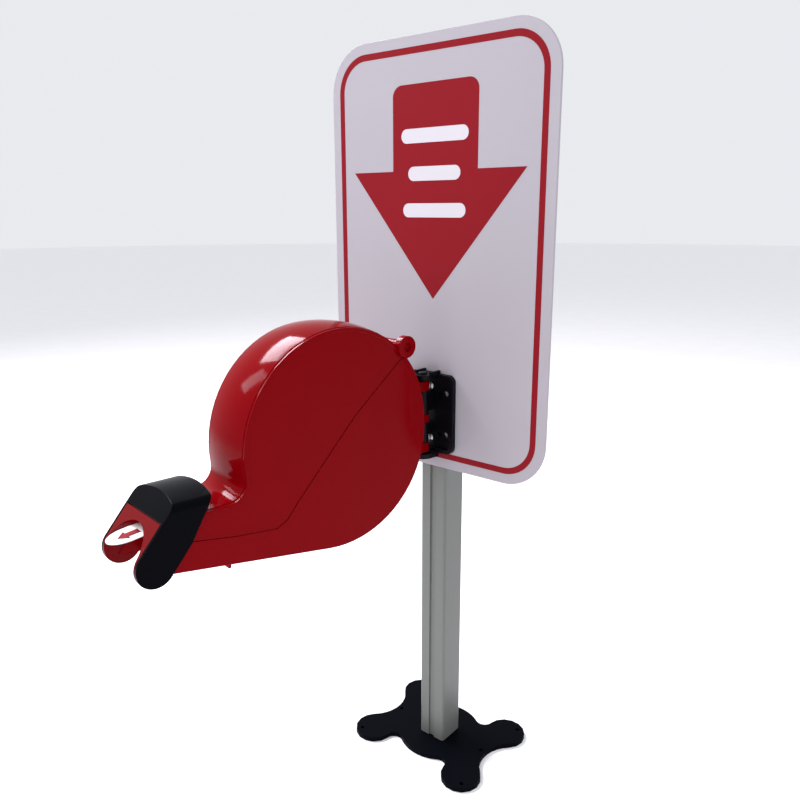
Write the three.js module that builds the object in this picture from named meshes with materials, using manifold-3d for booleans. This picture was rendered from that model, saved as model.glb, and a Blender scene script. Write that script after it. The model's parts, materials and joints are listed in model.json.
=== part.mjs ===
// Take-a-ticket stand: a snail shaped ticket dispenser that swivels on a bracket in front of a
// sign, on a square aluminium pole with a flat steel foot.
// Millimetres, +Z up. The origin is on the underside of the foot, on the pole's axis.
// The sign faces -Y. The dispenser hangs on a vertical pin and is turned about it by YAW.

import * as THREE from 'three';
import { mergeVertices } from 'three/addons/utils/BufferGeometryUtils.js';
import Module from 'manifold-3d';

// ---------- Driving dimensions ----------

const GAP = 0.3; // clearance between neighbouring pieces

const FOOT = {
  thickness: 5,
  hubRadius: 43,
  lobeX: 57.5,
  lobeY: 41.5,
  lobeRadius: 20,
  notchRadius: 9,
  waistRadius: 36,
  holeRadius: 2,
  tipHoleX: 65.9,
  tipHoleY: 52,
  sideHoleX: 53.8,
};

const POLE = {
  side: 30,
  cornerRadius: 2.5,
  wall: 2,
  grooveWidth: 7,
  grooveDepth: 1.75,
  bottom: FOOT.thickness,
  top: 690,
  portRadius: 2,
  portBossRadius: 4,
  portOffset: 10,
};

const FOOT_SCREW = { shankRadius: 1.7, headRadius: 4, headDepth: 2.2, top: 24, recess: 0.5 };

const SIGN = { width: 245, bottom: 311, top: 699, thickness: 2.5, cornerRadius: 42 };

const BRACKET = {
  halfWidth: 27.5,
  bottom: 327,
  top: 403,
  cornerRadius: 7,
  plate: 3,
  rimHeight: 2,
  rimWidth: 4,
  holeRadius: 2.8,
  holeX: 18.4,
  dimpleX: 12,
  dimpleDepth: 1.5,
  holeLowZ: 345,
  holeHighZ: 385,
  knuckleRadius: 5.8,
  knuckleWeb: 6,
  // Height of each barrel from and to, and of the web that ties it to the plate.
  knuckles: [[338.6, 358.1, 345, 356], [365.9, 388.4, 368, 386]],
  shelfHalfWidth: 9.5,
  shelfThickness: 4.5,
  shelfReach: 20,
  ribWidth: 2,
  ribHeight: 2.2,
};

const FIXING = { lowZ: 340, highZ: 391, shankRadius: 2, headRadius: 4.2, headHeight: 2.2 };
const NUT = { acrossFlats: 8, height: 4 };

const SWIVEL = { y: -32, pinRadius: 2.5, headRadius: 4.2, headHeight: 1.6 };
const YAW = THREE.MathUtils.degToRad(-8);

// The dispenser is drawn in its own frame: x across, y from the swivel axis (negative is
// forward), z height above the floor.
const DRUM = { y: -115.4, z: 369.8, radius: 92 };
// The drum swells a little round its heel, between its back and its floor.
const HEEL = { angle: -38, halfSpan: 56, height: 1.3 };
const BODY = {
  halfWidth: 27.5,
  crownHeight: 3,
  edgeRound: 0.7,
  rimWidth: 2.9,
  rimStep: 0.5,
  wall: 2.4,
  neckTop: 342,
  neckFillet: 14,
  bottomSlope: THREE.MathUtils.degToRad(9.7),
  noseDepth: 15.6,
};

// The snout leans forward: its face runs down along FACE_DOWN from the corner FACE_TOP.
const FACE_TOP = new THREE.Vector2(-275, 343);
const FACE_DOWN = new THREE.Vector2(-0.644, -0.765);
const FACE_IN = new THREE.Vector2(0.765, -0.644);

const SADDLE = {
  halfWidth: 30,
  wall: 2.2,
  legWidth: 28.6,
  lobeRadius: 14.5,
  lobeAlong: 28.5,
  rearY: -233.5,
  frontY: -262.5,
  topZ: 357.6,
  crownRadius: 104.3,
  edgeRadius: 6,
  edgeX: 24,
  edgeZ: 348.6,
};

const NOSE = { archHalfWidth: 25.6, archTopZ: 337.5, archShoulderZ: 318 };

const CHEEK_SCREW = {
  along: 28, depth: 10.8, headRadius: 3, headHeight: 1.2, shankRadius: 1.4, shankLength: 3.2,
};

const HINGE = {
  y: -47.3,
  z: 438.7,
  earRadius: 9.5,
  earInner: 24.9,
  earOuter: 30.5,
  barrelRadius: 5,
  pinRadius: 2,
  pinRecess: 1.4,
  recessRadius: 4.2,
};

// A shallow facet on each side at the back; its crease runs down from below the hinge, in (y, z).
const FACET = {
  crease: [[-45, 424], [-43.5, 401.2], [-41.6, 379.5], [-39.7, 364.5], [-34, 353.1], [-28, 344.4], [-21, 336]],
  outerY: -12,
  slope: 0.075,
};

// Between the cover's two side walls the rear shell's band runs on over the top, up to a seam
// with the plan of a rounded V. The seam leans back, so that the cover lifts clear of it.
const BRIDGE = { halfWidth: 24.6, sideY: -123.8, tipY: -96.5, tipHalfWidth: 3, tipSideY: -99, lean: 0.6 };

const FLOOR_END_Y = -268;

const LUG = {
  radius: 6.2,
  z: [333.8, 362, 393.2],
  height: [8.8, 7, 8.8],
};

const ROLL = { outerRadius: 58, innerRadius: 14, halfWidth: 12.5 };
const CORE = { outerRadius: 13.7, innerRadius: 5.3, halfWidth: 14 };
const SPINDLE = { radius: 5, bossRadius: 9, halfLength: 27.4 };

const TICKET = { halfWidth: 12, thickness: 0.6, z: 331, tipY: -305.5, tearY: -262, tipLength: 13 };
const SPRING = { halfWidth: 7, thickness: 0.5, rearY: -226, frontY: -258, padLength: 9 };
const LATCH = { y: -214.7, width: 6.6, halfWidth: 6, tipZ: 280.4, topZ: 309, travel: 3.5 };

// ---------- Colours ----------

const red = (roughness = 0.3) => material(0xb31525, roughness, 0);
const black = (roughness = 0.45) => material(0x17181b, roughness, 0);
const steel = () => material(0xb9bcc0, 0.3, 1);

function material(color, roughness, metalness) {
  return new THREE.MeshStandardMaterial({ color, roughness, metalness });
}

// ---------- Solids ----------

const wasm = await Module();
wasm.setup();

// A closed three.js geometry as a manifold solid.
function solid(geometry) {
  const bare = geometry.clone();
  bare.deleteAttribute('normal');
  bare.deleteAttribute('uv');
  const merged = mergeVertices(bare, 1e-4);
  const mesh = new wasm.Mesh({
    numProp: 3,
    vertProperties: new Float32Array(merged.attributes.position.array),
    triVerts: new Uint32Array(merged.index.array),
  });
  return new wasm.Manifold(mesh);
}

// A manifold solid as a three.js geometry.
function geometryOf(manifold) {
  const mesh = manifold.getMesh();
  const geometry = new THREE.BufferGeometry();
  geometry.setAttribute('position', new THREE.BufferAttribute(mesh.vertProperties, mesh.numProp));
  geometry.setIndex(new THREE.BufferAttribute(mesh.triVerts, 1));
  return geometry;
}

const AXES = {
  // Drawn as (y, z), extruded along +X.
  x: [new THREE.Vector3(0, 1, 0), new THREE.Vector3(0, 0, 1), new THREE.Vector3(1, 0, 0)],
  // Drawn as (z, x), extruded along +Y.
  y: [new THREE.Vector3(0, 0, 1), new THREE.Vector3(1, 0, 0), new THREE.Vector3(0, 1, 0)],
  // Drawn as (x, y), extruded along +Z.
  z: [new THREE.Vector3(1, 0, 0), new THREE.Vector3(0, 1, 0), new THREE.Vector3(0, 0, 1)],
};

// A flat outline extruded along one axis between two positions on it.
function prism(shape, axis, from, to) {
  const options = { depth: to - from, bevelEnabled: false, curveSegments: 8 };
  const geometry = new THREE.ExtrudeGeometry(shape, options);
  geometry.translate(0, 0, from);
  geometry.applyMatrix4(new THREE.Matrix4().makeBasis(...AXES[axis]));
  return solid(geometry);
}

// A box from its lowest to its highest corner.
function box(x0, x1, y0, y1, z0, z1) {
  const geometry = new THREE.BoxGeometry(x1 - x0, y1 - y0, z1 - z0);
  geometry.translate((x0 + x1) / 2, (y0 + y1) / 2, (z0 + z1) / 2);
  return solid(geometry);
}

// A round bar along one axis; a and b are the other two coordinates of its centre line.
function bar(axis, a, b, radius, from, to, segments = 24) {
  return prism(polygonShape(arc(a, b, radius, 0, 360, segments).slice(0, -1)), axis, from, to);
}

// Points on an arc, both ends included; angles in degrees.
function arc(cx, cy, radius, from, to, segments) {
  const points = [];
  for (let i = 0; i <= segments; i += 1) {
    const angle = THREE.MathUtils.degToRad(from + ((to - from) * i) / segments);
    points.push(new THREE.Vector2(cx + radius * Math.cos(angle), cy + radius * Math.sin(angle)));
  }
  return points;
}

function polygonShape(points) {
  return new THREE.Shape(points);
}

function shapeFrom(pairs) {
  return polygonShape(pairs.map(([a, b]) => new THREE.Vector2(a, b)));
}

// A rectangle with round corners.
function roundedRectangle(x0, x1, y0, y1, radius, segments = 6) {
  return polygonShape([
    ...arc(x1 - radius, y0 + radius, radius, -90, 0, segments),
    ...arc(x1 - radius, y1 - radius, radius, 0, 90, segments),
    ...arc(x0 + radius, y1 - radius, radius, 90, 180, segments),
    ...arc(x0 + radius, y0 + radius, radius, 180, 270, segments),
  ]);
}

// ---------- Foot ----------

// A circle that touches two others from outside; side picks which of the two solutions.
function touchingCircle(a, ra, b, rb, radius, side) {
  const span = b.clone().sub(a);
  const length = span.length();
  const along = ((ra + radius) ** 2 - (rb + radius) ** 2 + length ** 2) / (2 * length);
  const across = side * Math.sqrt((ra + radius) ** 2 - along ** 2);
  const unit = span.divideScalar(length);
  return new THREE.Vector2(a.x + unit.x * along - unit.y * across, a.y + unit.y * along + unit.x * across);
}

// An outline made of arcs; each arc ends where it touches the next one.
function arcChain(arcs, segments) {
  const points = [];
  for (let i = 0; i < arcs.length; i += 1) {
    const before = arcs[(i + arcs.length - 1) % arcs.length];
    const here = arcs[i];
    const after = arcs[(i + 1) % arcs.length];
    const from = contactAngle(here, before);
    let to = contactAngle(here, after);
    if (here.convex && to <= from) to += 360;
    if (!here.convex && to >= from) to -= 360;
    points.push(...arc(here.x, here.y, here.r, from, to, segments).slice(0, -1));
  }
  return polygonShape(points);
}

function contactAngle(from, to) {
  return THREE.MathUtils.radToDeg(Math.atan2(to.y - from.y, to.x - from.x));
}

function footOutline() {
  const { hubRadius, lobeX, lobeY, lobeRadius, notchRadius, waistRadius } = FOOT;
  const hub = new THREE.Vector2(0, 0);
  const lobe = new THREE.Vector2(lobeX, lobeY);
  const notch = touchingCircle(hub, hubRadius, lobe, lobeRadius, notchRadius, 1);
  const waistX = lobeX + Math.sqrt((lobeRadius + waistRadius) ** 2 - lobeY ** 2);
  const hubArc = { x: 0, y: 0, r: hubRadius, convex: true };
  const lobeArc = (sx, sy) => ({ x: sx * lobeX, y: sy * lobeY, r: lobeRadius, convex: true });
  const notchArc = (sx, sy) => ({ x: sx * notch.x, y: sy * notch.y, r: notchRadius, convex: false });
  const waistArc = (sx) => ({ x: sx * waistX, y: 0, r: waistRadius, convex: false });
  return arcChain(
    [
      hubArc, notchArc(1, -1), lobeArc(1, -1), waistArc(1), lobeArc(1, 1), notchArc(1, 1),
      hubArc, notchArc(-1, 1), lobeArc(-1, 1), waistArc(-1), lobeArc(-1, -1), notchArc(-1, -1),
    ],
    9,
  );
}

const footScrewSpots = [
  [POLE.portOffset, POLE.portOffset],
  [-POLE.portOffset, POLE.portOffset],
  [-POLE.portOffset, -POLE.portOffset],
  [POLE.portOffset, -POLE.portOffset],
];

function footPlate() {
  let plate = prism(footOutline(), 'z', 0, FOOT.thickness);
  const holes = [
    [FOOT.tipHoleX, FOOT.tipHoleY], [-FOOT.tipHoleX, FOOT.tipHoleY],
    [FOOT.tipHoleX, -FOOT.tipHoleY], [-FOOT.tipHoleX, -FOOT.tipHoleY],
    [FOOT.sideHoleX, 0], [-FOOT.sideHoleX, 0],
  ];
  for (const [x, y] of holes) {
    plate = plate.subtract(bar('z', x, y, FOOT.holeRadius, -1, FOOT.thickness + 1, 16));
  }
  for (const [x, y] of footScrewSpots) {
    plate = plate.subtract(solid(screwProfile(GAP, -1).translate(x, y, 0)));
  }
  return geometryOf(plate);
}

// A countersunk screw turned about the vertical; grow widens it into its own hole.
function screwProfile(grow, start) {
  const { shankRadius, headRadius, headDepth, top, recess } = FOOT_SCREW;
  const low = start ?? recess;
  const end = grow > 0 ? FOOT.thickness + 1 : top;
  const profile = [
    [0, low], [headRadius + grow, low], [headRadius + grow, recess + 0.4],
    [shankRadius + grow, recess + headDepth], [shankRadius + grow, end], [0, end],
  ].map(([r, z]) => new THREE.Vector2(r, z));
  return new THREE.LatheGeometry(profile, 16).rotateX(Math.PI / 2);
}

// ---------- Pole ----------

function poleOutline() {
  const half = POLE.side / 2;
  const shape = roundedRectangle(-half, half, -half, half, POLE.cornerRadius, 4);
  return shape;
}

function pole() {
  const half = POLE.side / 2;
  const inner = half - POLE.wall;
  const floor = -half + POLE.grooveDepth;
  const groove = POLE.grooveWidth / 2;
  const { bottom, top, portRadius, portBossRadius, portOffset } = POLE;
  const bore = roundedRectangle(-inner, inner, -inner, inner, 1, 2);
  let tube = prism(poleOutline(), 'z', bottom, top).subtract(prism(bore, 'z', bottom - 1, top + 1));
  tube = tube.add(box(-groove - POLE.wall, groove + POLE.wall, -half + 0.5, floor + POLE.wall, bottom, top));
  tube = tube.subtract(box(-groove, groove, -half - 1, floor, bottom - 1, top + 1));
  for (const [x, y] of footScrewSpots) {
    const boss = bar('z', x, y, portBossRadius, bottom, top, 12);
    const corner = box(...spanTo(x, inner + 1), ...spanTo(y, inner + 1), bottom, top);
    tube = tube.add(boss.add(corner));
    tube = tube.subtract(bar('z', x, y, portRadius, bottom - 1, top + 1, 12));
  }
  tube = tube.intersect(prism(poleOutline(), 'z', bottom, top));
  for (const z of [FIXING.lowZ, FIXING.highZ]) {
    tube = tube.subtract(bar('y', z, 0, FIXING.shankRadius + GAP, -half - 1, 0, 16));
  }
  return geometryOf(tube);
}

// From a value outwards to a limit on its own side of zero, in rising order.
function spanTo(value, limit) {
  return value > 0 ? [value, limit] : [-limit, value];
}

function poleCap() {
  const half = POLE.side / 2;
  const plug = 5.5;
  const top = prism(roundedRectangle(-half, half, -half, half, POLE.cornerRadius, 4), 'z', POLE.top, POLE.top + 3);
  return geometryOf(top.add(box(-plug, plug, -8, 12, POLE.top - 8, POLE.top + 1)));
}

// ---------- Sign ----------

const signFront = -POLE.side / 2 - SIGN.thickness;

function sign() {
  const half = SIGN.width / 2;
  const outline = roundedRectangle(SIGN.bottom, SIGN.top, -half, half, SIGN.cornerRadius, 12);
  let panel = prism(outline, 'y', signFront, -POLE.side / 2);
  for (const z of [FIXING.lowZ, FIXING.highZ]) {
    panel = panel.subtract(bar('y', z, 0, FIXING.shankRadius + GAP, signFront - 1, 0, 16));
  }
  return geometryOf(panel);
}

// ---------- Bracket ----------

const plateFront = signFront - BRACKET.plate;

function bracketPlate() {
  const { halfWidth, bottom, top, cornerRadius, rimHeight, rimWidth } = BRACKET;
  const outer = roundedRectangle(bottom, top, -halfWidth, halfWidth, cornerRadius, 6);
  const inner = roundedRectangle(
    bottom + rimWidth, top - rimWidth, rimWidth - halfWidth, halfWidth - rimWidth, cornerRadius - rimWidth, 4,
  );
  const block = prism(outer, 'y', plateFront - rimHeight, signFront);
  return block.subtract(prism(inner, 'y', plateFront - rimHeight - 1, plateFront));
}

// A shelf that holds one end of the swivel pin, with a round front and a gusset under or over it.
function bracketShelf(z0, z1, gussetZ) {
  const { shelfHalfWidth, shelfReach } = BRACKET;
  const centre = SWIVEL.y;
  const plan = [
    ...arc(0, centre, shelfHalfWidth, 180, 360, 10),
    new THREE.Vector2(shelfHalfWidth, plateFront + 1),
    new THREE.Vector2(-shelfHalfWidth, plateFront + 1),
  ];
  const shelf = prism(polygonShape(plan), 'z', z0, z1);
  const root = gussetZ > z1 ? z1 : z0;
  const side = shapeFrom([
    [plateFront + 1, gussetZ], [plateFront + 1, root], [plateFront - shelfReach + 6, root],
    [plateFront - 3, (root + gussetZ) / 2],
  ]);
  const ordered = gussetZ > z1 ? side : polygonShape(side.getPoints().reverse());
  return shelf.add(prism(ordered, 'x', -shelfHalfWidth, shelfHalfWidth));
}

function bracket() {
  const { bottom, top, shelfThickness, ribWidth, ribHeight, shelfHalfWidth } = BRACKET;
  const lowTop = bottom + 1;
  const highBottom = top - shelfThickness + 1;
  let body = bracketPlate();
  body = body.add(bracketShelf(lowTop - shelfThickness, lowTop, bottom - 5));
  body = body.add(bracketShelf(highBottom, top + 1, top + 1.5));
  for (const x of [-shelfHalfWidth, shelfHalfWidth - ribWidth]) {
    body = body.add(box(x, x + ribWidth, SWIVEL.y, signFront, top, top + 1 + ribHeight));
  }
  for (const [z0, z1, web0, web1] of BRACKET.knuckles) {
    body = body.add(bar('z', 0, SWIVEL.y, BRACKET.knuckleRadius, z0, z1, 24));
    body = body.add(box(-BRACKET.knuckleWeb / 2, BRACKET.knuckleWeb / 2, SWIVEL.y, plateFront + 1, web0, web1));
  }
  body = body.subtract(bar('z', 0, SWIVEL.y, SWIVEL.pinRadius + GAP, bottom - 20, top + 20));
  for (const z of [BRACKET.holeLowZ, BRACKET.holeHighZ]) {
    for (const side of [-1, 1]) {
      const hole = (x, depth) => bar('y', z, side * x, BRACKET.holeRadius, plateFront - 1, plateFront + depth, 16);
      body = body.subtract(hole(BRACKET.holeX, BRACKET.plate + 1)).subtract(hole(BRACKET.dimpleX, BRACKET.dimpleDepth));
    }
  }
  for (const z of [FIXING.lowZ, FIXING.highZ]) {
    body = body.subtract(bar('y', z, 0, FIXING.shankRadius + GAP, plateFront - 5, signFront + 1, 16));
  }
  body = body.intersect(box(-100, 100, -100, signFront, 0, 800));
  return geometryOf(body);
}

// Pan head screw through bracket, sign and the pole's front wall, pointing along +Y.
function fixingScrew() {
  const { shankRadius, headRadius, headHeight } = FIXING;
  const reach = 14.5;
  const profile = [
    [0, -headHeight], [headRadius * 0.6, -headHeight], [headRadius, -headHeight * 0.45],
    [headRadius, -GAP / 3], [shankRadius, -GAP / 3], [shankRadius, reach], [0, reach],
  ].map(([r, y]) => new THREE.Vector2(r, y));
  return new THREE.LatheGeometry(profile, 16);
}

function fixingNut() {
  const flats = prism(hexagon(NUT.acrossFlats), 'y', 0, NUT.height);
  return geometryOf(flats.subtract(bar('y', 0, 0, FIXING.shankRadius + GAP, -1, NUT.height + 1, 16)));
}

function hexagon(acrossFlats) {
  const radius = acrossFlats / Math.sqrt(3);
  return polygonShape(arc(0, 0, radius, 0, 360, 6).slice(0, -1));
}

function swivelPin() {
  const { pinRadius, headRadius, headHeight } = SWIVEL;
  const low = BRACKET.bottom + 1 - BRACKET.shelfThickness - 2.5;
  const high = BRACKET.top + 1 + GAP;
  const profile = [
    [0, low], [pinRadius - 0.6, low], [pinRadius, low + 1], [pinRadius, high], [headRadius, high],
    [headRadius, high + headHeight - 0.8], [headRadius - 0.8, high + headHeight], [0, high + headHeight],
  ].map(([r, z]) => new THREE.Vector2(r, z));
  return new THREE.LatheGeometry(profile, 20).rotateX(Math.PI / 2);
}

// ---------- Dispenser body ----------

// A point on the snout: s runs down its face, t runs into it.
function facePoint(s, t) {
  return new THREE.Vector2(
    FACE_TOP.x + FACE_DOWN.x * s + FACE_IN.x * t,
    FACE_TOP.y + FACE_DOWN.y * s + FACE_IN.y * t,
  );
}

const degrees = THREE.MathUtils.radToDeg;

// The drum's side view between two angles in degrees: a circle with a slight swell at the heel.
function drumArc(radius, from, to, segments) {
  return arc(0, 0, 1, from, to, segments).map((unit) => {
    const offset = (degrees(Math.atan2(unit.y, unit.x)) - HEEL.angle) / HEEL.halfSpan;
    const swell = Math.abs(offset) < 1 ? HEEL.height * Math.cos((offset * Math.PI) / 2) ** 2 : 0;
    return new THREE.Vector2(DRUM.y + (radius + swell) * unit.x, DRUM.z + (radius + swell) * unit.y);
  });
}

// Side view of the snail: round drum, hollow curve into the neck, slanting front, sloping floor.
function bodyOutline(inset, front) {
  const { neckFillet, bottomSlope } = BODY;
  const radius = DRUM.radius - inset;
  const fillet = neckFillet + inset;
  const neckTop = BODY.neckTop - inset;
  const filletZ = neckTop + fillet;
  const filletY = DRUM.y - Math.sqrt((radius + fillet) ** 2 - (filletZ - DRUM.z) ** 2);
  const touch = degrees(Math.atan2(filletZ - DRUM.z, filletY - DRUM.y));
  const floorAngle = -90 - degrees(bottomSlope);
  const drum = drumArc(radius, floorAngle, touch < 0 ? touch + 360 : touch, 56);
  const hollow = arc(filletY, filletZ, fillet, touch < 0 ? touch + 180 : touch - 180, -90, 8);
  const floorEnd = drum[0];
  const topEnd = alongFace(front, (point) => point.y - neckTop);
  const bottomEnd = alongFace(front, (point) => {
    return point.y - (floorEnd.y + (floorEnd.x - point.x) * Math.tan(bottomSlope));
  });
  return polygonShape([...drum, ...hollow.slice(1), topEnd, bottomEnd]);
}

// The point at depth t behind the snout's face where the given height function is zero.
function alongFace(t, height) {
  let low = -60;
  let high = 120;
  for (let i = 0; i < 50; i += 1) {
    const middle = (low + high) / 2;
    if (height(facePoint(middle, t)) > 0) low = middle;
    else high = middle;
  }
  return facePoint(low, t);
}

// How far the band stands out, at a distance x from the middle of the body.
function crown(x) {
  return BODY.crownHeight * (1 - (x / BODY.halfWidth) ** 2);
}

// [x, inset] pairs from the side of the band to its middle.
function crownProfile(fromX, inset) {
  const steps = 5;
  return Array.from({ length: steps + 1 }, (_, i) => {
    const x = fromX * (1 - i / steps);
    return [x, inset - crown(x)];
  });
}

// Outer profile of the rear shell: a plain round edge between side and band.
function plainProfile() {
  const { halfWidth, edgeRound } = BODY;
  const corner = halfWidth - edgeRound;
  return [
    [halfWidth, edgeRound], [halfWidth - edgeRound * 0.3, edgeRound * 0.3], ...crownProfile(corner, 0),
  ];
}

// Outer profile of the cover: a raised rim round the side, and a fine groove between rim and band.
function rimProfile() {
  const { halfWidth, edgeRound, rimWidth, rimStep } = BODY;
  const grooveX = BRIDGE.halfWidth;
  return [
    [halfWidth - rimStep, rimWidth + 0.3], [halfWidth, rimWidth - 0.2], [halfWidth, edgeRound],
    [halfWidth - edgeRound * 0.3, edgeRound * 0.3], [halfWidth - edgeRound, 0], [grooveX + GAP, 0],
    [grooveX + GAP, GAP], ...crownProfile(grooveX, 0),
  ];
}

function innerProfile() {
  const side = BODY.halfWidth - BODY.wall;
  return [[side, BODY.wall + 0.6], ...crownProfile(side - 0.6, BODY.wall)];
}

// A solid lofted through side views, one for each [x, inset] of a profile that is mirrored.
function loft(profile, front) {
  const mirrored = profile.slice(0, -1).map(([x, inset]) => [-x, inset]).reverse();
  const rings = [...profile, ...mirrored].map(([x, inset]) => {
    return bodyOutline(inset, front).getPoints().map((point) => [x, point.x, point.y]);
  });
  return loftRings(rings);
}

// A solid skinned over rings of [x, y, z] points; each ring turns anticlockwise seen from the first.
function loftRings(rings) {
  const count = rings[0].length;
  const index = [];
  for (let i = 0; i < rings.length - 1; i += 1) {
    for (let j = 0; j < count; j += 1) {
      const next = (j + 1) % count;
      const here = [i * count + j, (i + 1) * count + j];
      const there = [i * count + next, (i + 1) * count + next];
      index.push(here[0], here[1], there[1], here[0], there[1], there[0]);
    }
  }
  for (const [ring, flip] of [[0, false], [rings.length - 1, true]]) {
    for (const triangle of capTriangles(rings[ring])) {
      const corners = triangle.map((corner) => ring * count + corner);
      index.push(...(flip ? corners.reverse() : corners));
    }
  }
  const geometry = new THREE.BufferGeometry();
  geometry.setAttribute('position', new THREE.Float32BufferAttribute(rings.flat(2), 3));
  geometry.setIndex(index);
  return solid(geometry);
}

// Triangles over a flat ring, in the plane it lies in: level rings in (x, y), upright ones in (y, z).
function capTriangles(ring) {
  const level = ring.every(([, , z]) => z === ring[0][2]);
  const contour = ring.map(([x, y, z]) => (level ? new THREE.Vector2(x, y) : new THREE.Vector2(y, z)));
  return THREE.ShapeUtils.triangulateShape(contour, []);
}

// What lies above the floor, so that the crown does not bulge under it.
function aboveFloor(inset) {
  const reach = 400;
  const angle = -90 - degrees(BODY.bottomSlope);
  const start = arc(DRUM.y, DRUM.z, DRUM.radius - inset, angle, angle + 1, 1)[0];
  const side = shapeFrom([
    [start.x - reach, start.y + reach * Math.tan(BODY.bottomSlope)], [start.x, start.y],
    [DRUM.y + 30, start.y - 6], [DRUM.y + 130, start.y - 6], [DRUM.y + 130, DRUM.z + 120],
    [start.x - reach, DRUM.z + 120],
  ]);
  return prism(side, 'x', -BODY.halfWidth - 1, BODY.halfWidth + 1);
}

const cavity = loft(innerProfile(), BODY.noseDepth - 40).intersect(aboveFloor(BODY.wall));

function bodyShell(profile) {
  return loft(profile, BODY.noseDepth).intersect(aboveFloor(0)).subtract(cavity);
}

// The parting line runs from the hinge down the side and then forward along the neck.
function coverRegion(shift) {
  return shapeFrom([
    [HINGE.y + 12 + shift, HINGE.z + 40], [HINGE.y + 12 + shift, HINGE.z - 2],
    [HINGE.y - 6 + shift, HINGE.z - 11 - shift], [-102 + shift, 388.6 - shift],
    [-135.5 + shift, 354.9 - shift], [-162 + shift, 328 - shift], [-172 + shift, 316.5 - shift],
    [-182 + shift, 311.8 - shift], [-218, 316.2 - shift], [-320, 335 - shift], [-320, 520], [-60, 520],
  ].reverse());
}

// The part of the band that stays with the rear shell; grow widens it for the cover's clearance.
function bridgeRegion(grow) {
  const { halfWidth, sideY, tipY, tipHalfWidth, tipSideY, lean } = BRIDGE;
  const half = halfWidth + grow;
  const rear = HINGE.y + 14;
  const height = { low: 425, seam: 463, high: 480 };
  const plan = shapeFrom([
    [half, rear + 50], [-half, rear + 50], [-half, sideY - 2.3 * grow], [-tipHalfWidth, tipSideY - 1.6 * grow],
    [0, tipY - grow], [tipHalfWidth, tipSideY - 1.6 * grow], [half, sideY - 2.3 * grow],
  ]);
  const shear = new THREE.Matrix4().makeShear(0, 0, 0, 0, 0, lean);
  shear.setPosition(0, -lean * height.seam, 0);
  const options = { depth: height.high - height.low, bevelEnabled: false };
  const geometry = new THREE.ExtrudeGeometry(plan, options).translate(0, 0, height.low).applyMatrix4(shear);
  return solid(geometry).intersect(box(-half, half, -200, rear, height.low, height.high));
}

// How far down the face the body's floor lies, at depth t behind the face.
function floorAlong(t) {
  const corner = bodyOutline(0, t).getPoints().at(-1);
  return (corner.x - FACE_TOP.x) * FACE_DOWN.x + (corner.y - FACE_TOP.y) * FACE_DOWN.y;
}

function hingeBar(radius, x0, x1) {
  return bar('x', HINGE.y, HINGE.z, radius, x0, x1, 28);
}

// The two places beside the band where the cover's hinge ears sit, as [from, to] across.
const earSpans = [[-HINGE.earOuter, -HINGE.earInner], [HINGE.earInner, HINGE.earOuter]];

function rearShell() {
  const reach = BODY.halfWidth + 5;
  const body = bodyShell(plainProfile());
  let shell = body.subtract(prism(coverRegion(GAP), 'x', -reach, reach)).add(body.intersect(bridgeRegion(0)));
  const barrelEnd = BRIDGE.halfWidth;
  shell = shell.add(hingeBar(HINGE.barrelRadius, -barrelEnd, barrelEnd));
  for (const [from, to] of [[-reach, -barrelEnd], [barrelEnd, reach]]) {
    shell = shell.subtract(hingeBar(HINGE.earRadius + 2 * GAP, from, to));
  }
  shell = shell.subtract(hingeBar(HINGE.pinRadius + GAP, -reach, reach));
  LUG.z.forEach((z, i) => {
    shell = shell.add(lug(z - LUG.height[i] / 2, z + LUG.height[i] / 2));
  });
  shell = shell.subtract(bar('z', 0, 0, SWIVEL.pinRadius + GAP, BRACKET.bottom - 20, BRACKET.top + 20));
  for (const side of [-1, 1]) {
    const wall = BODY.halfWidth - BODY.wall;
    const from = side > 0 ? SPINDLE.halfLength - 8 : GAP - wall;
    const to = side > 0 ? wall - GAP : 8 - SPINDLE.halfLength;
    shell = shell.add(bar('x', DRUM.y, DRUM.z, SPINDLE.bossRadius, from, to));
    shell = shell.add(spindleArm(side > 0 ? from : from - 1, side > 0 ? to + 1 : to));
    shell = shell.subtract(bar('x', DRUM.y, DRUM.z, SPINDLE.radius + GAP, from - 1, to + 1));
  }
  shell = shell.subtract(facetWedge(1)).subtract(facetWedge(-1)).subtract(mouthGap());
  return geometryOf(shell.add(ticketRest()).subtract(latchSlot()));
}

// A short arm that ties the spindle's socket to the part of the side wall behind the parting line.
function spindleArm(from, to) {
  const arm = shapeFrom([
    [DRUM.y + 4, DRUM.z - 9], [DRUM.y + 38, DRUM.z - 26], [DRUM.y + 44, DRUM.z - 10], [DRUM.y + 6, DRUM.z + 8],
  ]);
  return prism(arm, 'x', from, to);
}

// The wedge that cuts the facet on one side (1 or -1).
function facetWedge(side) {
  const { crease, outerY, slope } = FACET;
  const face = BODY.halfWidth;
  const rings = crease.map(([y, z]) => {
    const outer = [side * (face - slope * (outerY - y)), outerY, z];
    const ring = [[side * face, y, z], outer, [side * (face + 2), outerY, z], [side * (face + 2), y, z]];
    return side > 0 ? ring.reverse() : ring;
  });
  return loftRings(rings);
}

// One of the three ears at the back that the swivel pin passes through.
function lug(z0, z1) {
  const plan = [
    ...arc(0, 0, LUG.radius, 0, 180, 10),
    new THREE.Vector2(-LUG.radius, -29),
    new THREE.Vector2(LUG.radius, -29),
  ];
  return prism(polygonShape(plan), 'z', z0, z1);
}

// The slot in the floor that the latch tab slides in.
function latchSlot() {
  const { y, width, halfWidth, travel } = LATCH;
  return box(-halfWidth - GAP, halfWidth + GAP, y - width / 2 - GAP, y + width / 2 + travel + GAP, 270, 302);
}

// The floor stops behind the mouth, so that the tickets can be gripped between the cheeks.
function mouthGap() {
  const half = BODY.halfWidth - BODY.wall;
  return box(-half, half, -320, FLOOR_END_Y, 250, TICKET.z - 1);
}

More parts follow.
